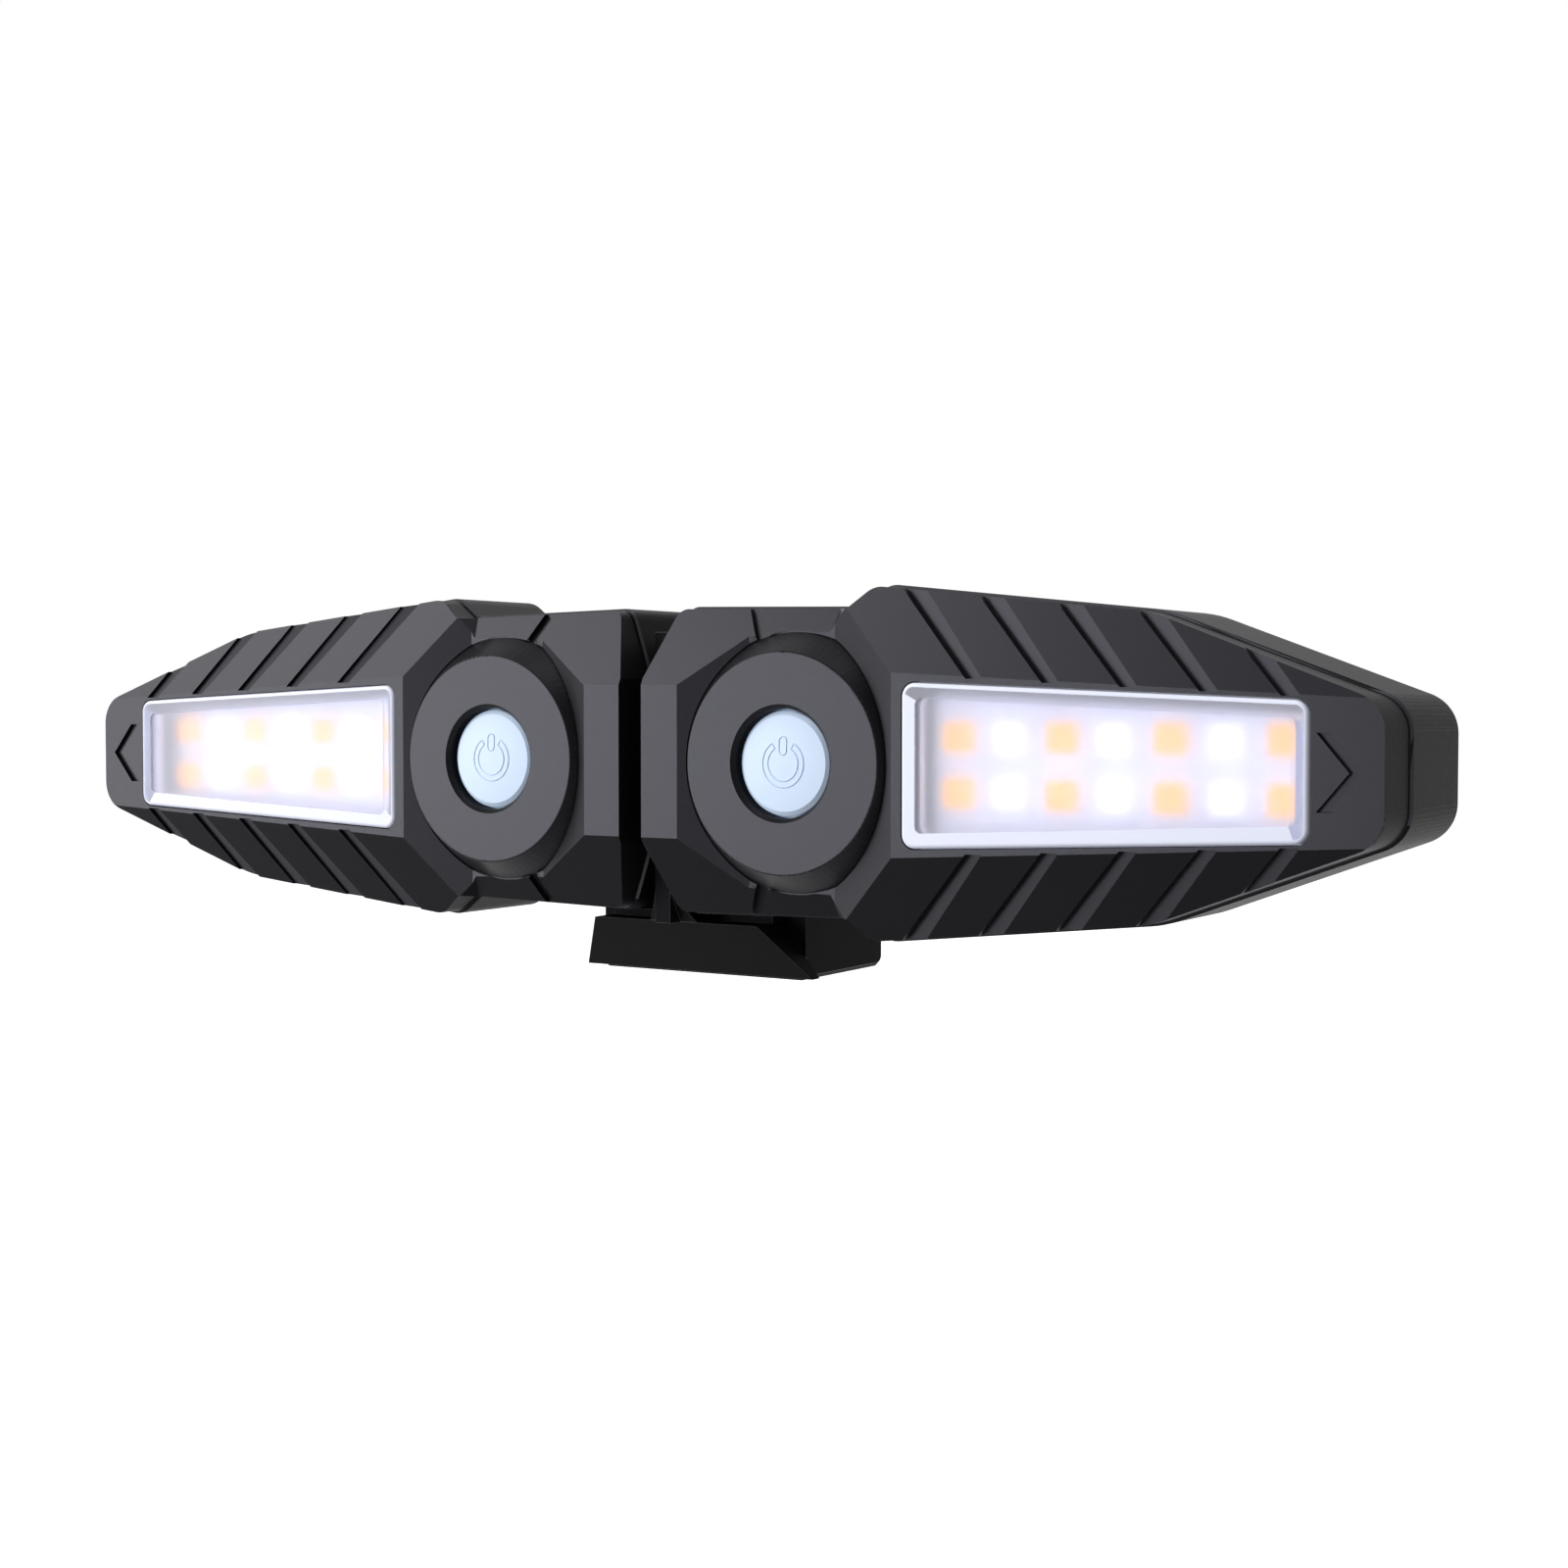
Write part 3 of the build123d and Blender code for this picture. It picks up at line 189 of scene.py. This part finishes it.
# Spark-eroded faces have a fine even grain and a soft, broad sheen.
front_abs = moulded("spark_eroded_abs_front", "#151518", 0.33, grain_mm=0.35, relief_mm=0.002,
                    specular=0.2)
rear_abs = moulded("spark_eroded_abs_back", "#19191b", 0.42, relief_mm=0.002)
# Rounded edges are painted paler than the faces, a painted highlight that shows as thin pale lines.
front_edge_painted_highlight = moulded("abs_front_edge_painted_highlight", "#62626a", 0.3, specular=0.5)
rear_edge_painted_highlight = moulded("abs_rear_edge_painted_highlight", "#38383c", 0.4, specular=0.15)
# Walls and faces that point down take a dull copy with little sheen, a painted shade that keeps them nearly
# black.
wall_abs_painted_shade = moulded("dull_abs_wall_painted_shade", "#161618", 0.5, relief_mm=0.002, specular=0.05)
for side in SIDES:
    cover = softened(side + "_front_cover", FRONT_ROUND_MM, front_abs, front_edge_painted_highlight, wall_abs_painted_shade)
    tub = softened(side + "_rear_cover", REAR_ROUND_MM, rear_abs, rear_edge_painted_highlight, wall_abs_painted_shade, REAR_WALL_SHARE)

# Bezel rings. One moulding per half in the same black ABS, pressed into the front cover round the
# button. The tool leaves an even satin sheen on its flat face. The conical flank takes a darker,
# duller copy, a painted shade that makes it read black, so the face stands out. Its rounded edges
# are painted paler, a painted highlight.
BEZEL_ROUND_MM = 0.14
FLANK_SHARE = 0.97        # only the flat face has more of its normal along the depth
bezel_abs = moulded("satin_abs_bezel_face", "#18181b", 0.35, grain_mm=0.3, relief_mm=0.0015,
                    mottle=0.06, specular=0.22)
bezel_flank_painted_shade = moulded("dull_abs_bezel_flank_painted_shade", "#0d0d0f", 0.36, specular=0.1)
bezel_edge_painted_highlight = moulded("abs_bezel_edge_painted_highlight", "#46464c", 0.3)
for side in SIDES:
    ring = softened(side + "_bezel_ring", BEZEL_ROUND_MM, bezel_abs, bezel_edge_painted_highlight, bezel_flank_painted_shade, FLANK_SHARE)

# Diodes and their boards. Amber and white columns take turns, soldered to the board. Each package
# is a reflector cup filled with clear resin over phosphor, and the board's white solder mask
# scatters its light. All three glow softly with painted light, which stands in for the light
# that reaches them through the frosted lens while the lamp is off; the board is no lamp.
PAINTED_GLOW = {
    "amber_leds": ("cast_resin_over_amber_phosphor", "#ffb012", 0.98),
    "white_leds": ("cast_resin_over_white_phosphor", "#fffdf6", 0.66),
    "led_board": ("printed_white_solder_mask", "#dcdde6", 0.52),
}


def coat(names, material):
    """Gives CAD nodes one material."""
    for name in names:
        nodes[name].data.materials.clear()
        nodes[name].data.materials.append(material)


def both(*names):
    """Full names of pieces that are on the right half and on the left."""
    return [side + "_" + name for side in SIDES for name in names]


for node, (finish, shade, strength) in PAINTED_GLOW.items():
    coat(both(node), moulded(finish, shade, 0.3, mottle=0.03, painted_glow=shade, painted_glow_strength=strength))

# Lenses. Frosted windows, injection moulded in polycarbonate with a milky filler and held by the
# front covers against their gaskets. The diodes behind show through them as soft spots. The lip
# round the window is thicker and polished in the mould, so it looks whiter. Window and lip both
# carry a faint painted glow, which stands in for light scattered in the milky plastic.
LENS_ROUND_MM = 0.12
FILLER_MM = 7.0           # width of the clouds in the milky filler
FILLER_DETAIL = 1.0
ALONG_DEPTH = 0.9         # share of a normal along the depth, above which a face looks front or back
RIM_MM = 2.6              # width of the lip and the hidden flange together
MIDDLE_SHARE = 0.5        # a facet of the window has its middle in this share of what the rim leaves
frosted, tree, shader = blank("moulded_frosted_polycarbonate")
place = add(tree, "ShaderNodeTexCoord").outputs["Object"]
milky = cloudy(tree, place, FILLER_MM, FILLER_DETAIL, linear("#dddfef"), linear("#e8eaf7"))
tree.links.new(milky, shader.inputs["Base Color"])
dial(shader, Transmission_Weight=0.83, Roughness=0.33, IOR=1.58, Specular_IOR_Level=0.08,
     Specular_Tint=linear("#5c5c62"), Emission_Color=linear("#e8e9f0"), Emission_Strength=0.09)
lens_lip = moulded("polished_polycarbonate_lip", "#dde0f0", 0.25, relief_mm=0.0005, mottle=0.02,
                   specular=0.15, painted_glow="#e4e7f5", painted_glow_strength=0.1)
for side in SIDES:
    window = softened(side + "_lens", LENS_ROUND_MM, frosted, lens_lip)
    low, high = [np.array(corner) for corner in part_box(side + "_lens")]
    reach = MIDDLE_SHARE * ((high - low) / 2 - RIM_MM * MM)
    for facet in window.data.polygons:
        offset = np.abs(np.array(facet.center) - (high + low) / 2)
        in_middle = offset[0] < reach[0] and offset[2] < reach[2]
        facet.material_index = FACE if in_middle and abs(facet.normal.y) > ALONG_DEPTH else EDGE

# Power buttons. Pale blue caps, moulded in translucent polycarbonate and polished, with a faint
# painted glow that stands in for the indicator's light from behind. Each has the usual power sign,
# an open ring and a bar, as a fine raised line that is moulded with the cap. The line is drawn a
# little deeper blue than the cap, a painted shade for the shading along it.
CAP_CENTRE = 23.4 * MM    # from the lamp's middle
CAP_RADIUS = 6.6 * MM
CAP_DROP = 0.44 * MM      # how far the dome falls back from its middle to CAP_RADIUS
RING_OUTER, RING_INNER = 3.0 * MM, 2.2 * MM
RING_GAP = math.radians(32)               # half of the ring's opening
RING_POINTS = 60
BAR_HALF = 0.55 * MM
BAR_LOW, BAR_HIGH = 1.1 * MM, 3.4 * MM
BAR_END_POINTS = 12
LINE_RADIUS = 0.09 * MM
LINE_SIDES = 8
cap_plastic_painted_glow = moulded("polished_polycarbonate_cap", "#cbdbf0", 0.3, grain_mm=0.6, relief_mm=0.0005,
                      mottle=0.02, specular=0.12, painted_glow="#c6dcf8", painted_glow_strength=0.12)
sign_plastic_painted_shade = moulded("polished_polycarbonate_sign", "#bcd2ee", 0.3, relief_mm=0.0005, mottle=0.02)


def arc(start, end, count):
    """Points at (cos t, sin t), with t going from start to end."""
    turn = np.linspace(start, end, count)
    return np.stack([np.cos(turn), np.sin(turn)], axis=1)


def ring_outline():
    """Closed line round a ring that is open at the top: its outer arc one way, its inner arc back."""
    outer = arc(math.pi / 2 + RING_GAP, math.pi * 5 / 2 - RING_GAP, RING_POINTS)
    return np.concatenate([outer * RING_OUTER, outer[::-1] * RING_INNER])


def bar_outline():
    """Closed line round an upright bar: a half circle over its top and one under its foot."""
    cap_end = arc(0, math.pi, BAR_END_POINTS) * BAR_HALF
    return np.concatenate([cap_end + [0, BAR_HIGH - BAR_HALF], -cap_end + [0, BAR_LOW + BAR_HALF]])


def raised_line(name, flat, side):
    """Tube along a closed flat line that is laid on the cap's dome.

    The dome lies CAP_DROP (r / CAP_RADIUS)^2 behind its middle, with r measured from there. A
    point of the tube is the line's point plus LINE_RADIUS (cos t across + sin t outward), where
    across is square to the line's direction, from the last point to the next, and to outward.
    """
    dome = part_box(side + "_power_button")[0][1]
    depth = dome + CAP_DROP * (flat ** 2).sum(axis=1) / CAP_RADIUS ** 2
    path = np.stack([flat[:, 0] + SIDES[side] * CAP_CENTRE, depth, flat[:, 1]], axis=1)
    along = np.roll(path, -1, axis=0) - np.roll(path, 1, axis=0)
    along /= np.linalg.norm(along, axis=1)[:, None]
    outward = np.array([0.0, -1.0, 0.0])
    across = np.cross(along, outward)
    across /= np.linalg.norm(across, axis=1)[:, None]
    turn = np.arange(LINE_SIDES) * 2 * math.pi / LINE_SIDES
    points = (path[:, None] + LINE_RADIUS * (np.cos(turn)[None, :, None] * across[:, None]
                                             + np.sin(turn)[None, :, None] * outward))
    row, column = np.meshgrid(np.arange(len(path)), np.arange(LINE_SIDES), indexing="ij")
    next_row, next_column = (row + 1) % len(path), (column + 1) % LINE_SIDES
    quads = np.stack([row * LINE_SIDES + column, row * LINE_SIDES + next_column,
                      next_row * LINE_SIDES + next_column, next_row * LINE_SIDES + column], axis=-1)
    mesh = bpy.data.meshes.new(name)
    mesh.from_pydata(points.reshape(-1, 3).tolist(), [], quads.reshape(-1, 4).tolist())
    mesh.shade_smooth()
    mesh.materials.append(sign_plastic_painted_shade)
    piece = bpy.data.objects.new(name, mesh)
    bpy.context.collection.objects.link(piece)
    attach(piece, side + "_button")


coat(both("power_button"), cap_plastic_painted_glow)
for side in SIDES:
    raised_line(side + "_power_ring_line", ring_outline(), side)
    raised_line(side + "_power_bar_line", bar_outline(), side)

# Bracket, foot and saddle. One injection moulding in glass-filled nylon, screwed to both halves.
# The glass fibres near the surface leave it black and slightly dry.
BRACKET_ROUND_MM = 0.25
nylon = moulded("moulded_glass_filled_nylon", "#111112", 0.55, grain_mm=0.4, relief_mm=0.004,
                specular=0.03)
# Its rounded edges are painted paler than the nylon, a painted highlight.
nylon_edge_painted_highlight = moulded("moulded_nylon_edge_painted_highlight", "#38383b", 0.45, relief_mm=0.002, specular=0.25)
bracket = softened("mounting_bracket", BRACKET_ROUND_MM, nylon, nylon_edge_painted_highlight)

# Rubber parts: the pad and the strap that grip the post, the port flaps and the seals. All are
# moulded in black silicone, which is dull and soft to the eye.
silicone = moulded("moulded_silicone_rubber", "#171718", 0.6, relief_mm=0.004)
coat(["post_pad", "post_strap"] + both("port_flap", "cover_gasket", "lens_gasket"), silicone)

# Steel parts: cold-headed screws and the charging sockets' drawn sleeves, both zinc plated.
# Handling leaves small marks on the pale plating, which show as an uneven gloss.
MARK_MM = 0.5
MARK_DETAIL = 4.0
steel, tree, shader = blank("zinc_plated_steel")
place = add(tree, "ShaderNodeTexCoord").outputs["Object"]
marks = add(tree, "ShaderNodeTexNoise", {"Vector": place}, Scale=1 / (MARK_MM * MM), Detail=MARK_DETAIL)
gloss = add(tree, "ShaderNodeMapRange", {"Value": marks.outputs["Fac"]}, To_Min=0.22, To_Max=0.42)
tree.links.new(gloss.outputs["Result"], shader.inputs["Roughness"])
dial(shader, Metallic=1.0, Base_Color=linear("#b4b4b8"))
coat(["bracket_screws"] + both("cover_screws", "charging_socket"), steel)

# Pieces inside the covers: the control boards with their switches and receivers, and the cells.
# Each has the plain finish of its kind, since none of them shows from outside.
INSIDE = {
    "control_board": moulded("green_solder_mask_board", "#1f4a33", 0.35),
    "switch_body": moulded("moulded_nylon_switch", "#1b1b1c", 0.45, grain_mm=0.4, relief_mm=0.002),
    "switch_plunger": moulded("moulded_acetal_plunger", "#d8d6cc", 0.35, grain_mm=0.4),
    "radio_module": moulded("moulded_epoxy_chip", "#1c1c1e", 0.55, grain_mm=0.3, relief_mm=0.002),
    "battery_cell": moulded("shrink_wrapped_cell", "#2a4f8f", 0.3, grain_mm=0.6),
}
for node, material in INSIDE.items():
    coat(both(node), material)

# Floor. A plain sheet well below the lamp, in matt paint. It looks white, also in reflections,
# but throws little light back at the lamp, so that the undersides stay dark.
FLOOR_Z = -0.15
FLOOR_REACH = 6.0
FLOOR_GLOW = 0.82         # with the lights that fall on the floor this comes to white
WHITE = linear("#ffffff")
FLOOR_SHADE = linear("#606060")


def seen_ray(tree):
    """1 for rays of the camera and for reflected and refracted ones, 0 for all others."""
    path = add(tree, "ShaderNodeLightPath")
    seen = path.outputs["Is Camera Ray"]
    for kind in ("Is Glossy Ray", "Is Transmission Ray"):
        seen = add(tree, "ShaderNodeMath", {0: seen, 1: path.outputs[kind]}, operation="MAXIMUM").outputs[0]
    return seen


floor_paint = bpy.data.materials.new("matt_painted_floor")
floor_paint.use_nodes = True
tree = floor_paint.node_tree
tree.nodes.clear()
pale = add(tree, "ShaderNodeBsdfDiffuse", Color=WHITE)
bright = add(tree, "ShaderNodeEmission", Color=WHITE, Strength=FLOOR_GLOW)
shown = add(tree, "ShaderNodeAddShader", {0: pale.outputs[0], 1: bright.outputs[0]})
dim = add(tree, "ShaderNodeBsdfDiffuse", Color=FLOOR_SHADE)
mixed = add(tree, "ShaderNodeMixShader", {0: seen_ray(tree), 1: dim.outputs[0], 2: shown.outputs[0]})
add(tree, "ShaderNodeOutputMaterial", {"Surface": mixed.outputs[0]})
corners = [(x * FLOOR_REACH, y * FLOOR_REACH, FLOOR_Z) for x, y in ((-1, -1), (1, -1), (1, 1), (-1, 1))]
mesh = bpy.data.meshes.new("floor")
mesh.from_pydata(corners, [], [(0, 1, 2, 3)])
mesh.materials.append(floor_paint)
floor = bpy.data.objects.new("floor", mesh)
bpy.context.collection.objects.link(floor)

# Backdrop. The world is white to the camera and in reflections, and a weak fill light to the rest.
FILL = 0.2
world = bpy.data.worlds.new("studio")
bpy.context.scene.world = world
world.use_nodes = True
tree = world.node_tree
tree.nodes.clear()
soft = add(tree, "ShaderNodeBackground", Color=WHITE, Strength=FILL)
white = add(tree, "ShaderNodeBackground", Color=WHITE, Strength=1.0)
mixed = add(tree, "ShaderNodeMixShader", {0: seen_ray(tree), 1: soft.outputs[0], 2: white.outputs[0]})
add(tree, "ShaderNodeOutputWorld", {"Surface": mixed.outputs[0]})

# Lights. White softboxes that all face the lamp: a wide one at the left, which the front faces
# mirror, a higher one for the upper facets, one above and a faint one behind.
SOFTBOXES = {  # place and size in metres, power in watts
    "sheen": ((-0.605, -0.86, 0.0), (0.8, 0.36), 7.8),
    "high_sheen": ((-0.67, -0.63, 0.53), (0.6, 0.6), 6.8),
    "top": ((0.1, -0.2, 1.0), (0.6, 0.5), 2.5),
    "back": ((-0.45, 0.95, 1.05), (0.8, 0.6), 4.0),
}
for name, (place, size, power) in SOFTBOXES.items():
    light = bpy.data.lights.new(name, "AREA")
    light.shape = "RECTANGLE"
    light.size, light.size_y = size
    light.energy = power
    softbox = bpy.data.objects.new(name, light)
    softbox.location = place
    softbox.rotation_euler = (-Vector(place)).to_track_quat("-Z", "Y").to_euler()
    bpy.context.collection.objects.link(softbox)

# Camera. Its place and direction were worked out from the edges in the photograph. It then turns
# so that the lamp, which stands off the middle of the photograph, is in the middle of the frame.
CAMERA_PLACE = (0.1710, -0.2808, 0.0076)  # metres
CAMERA_YAW, CAMERA_PITCH = math.radians(32.87), math.radians(-3.14)
PHOTO_FOCAL = 1423.3      # focal length in pixels of the photograph
PHOTO_AHEAD_X, PHOTO_AHEAD_Y = 445.5, 1370.2      # the pixel straight ahead
LAMP_X, LAMP_Y = 468.5, 1344.0                    # the pixel in the middle of the lamp
SENSOR_MM = 36.0
LENS_MM = 51.2            # 1.6 times as long as the photograph's, so that the lamp fills the frame
NEAREST = 0.01            # metres, nearer than anything it shows
camera_data = bpy.data.cameras.new("photo_camera")
camera_data.sensor_width = SENSOR_MM
camera_data.lens = LENS_MM
camera_data.clip_start = NEAREST
camera = bpy.data.objects.new("photo_camera", camera_data)
bpy.context.collection.objects.link(camera)
camera.location = CAMERA_PLACE
forward = np.array([-math.sin(CAMERA_YAW) * math.cos(CAMERA_PITCH),
                    math.cos(CAMERA_YAW) * math.cos(CAMERA_PITCH), math.sin(CAMERA_PITCH)])
right = np.array([math.cos(CAMERA_YAW), math.sin(CAMERA_YAW), 0.0])
up = np.cross(right, forward)
aim = forward * PHOTO_FOCAL + right * (LAMP_X - PHOTO_AHEAD_X) - up * (LAMP_Y - PHOTO_AHEAD_Y)
camera.rotation_euler = Vector(aim).to_track_quat("-Z", "Y").to_euler()
bpy.context.scene.camera = camera
bpy.context.scene.view_settings.view_transform = "Standard"
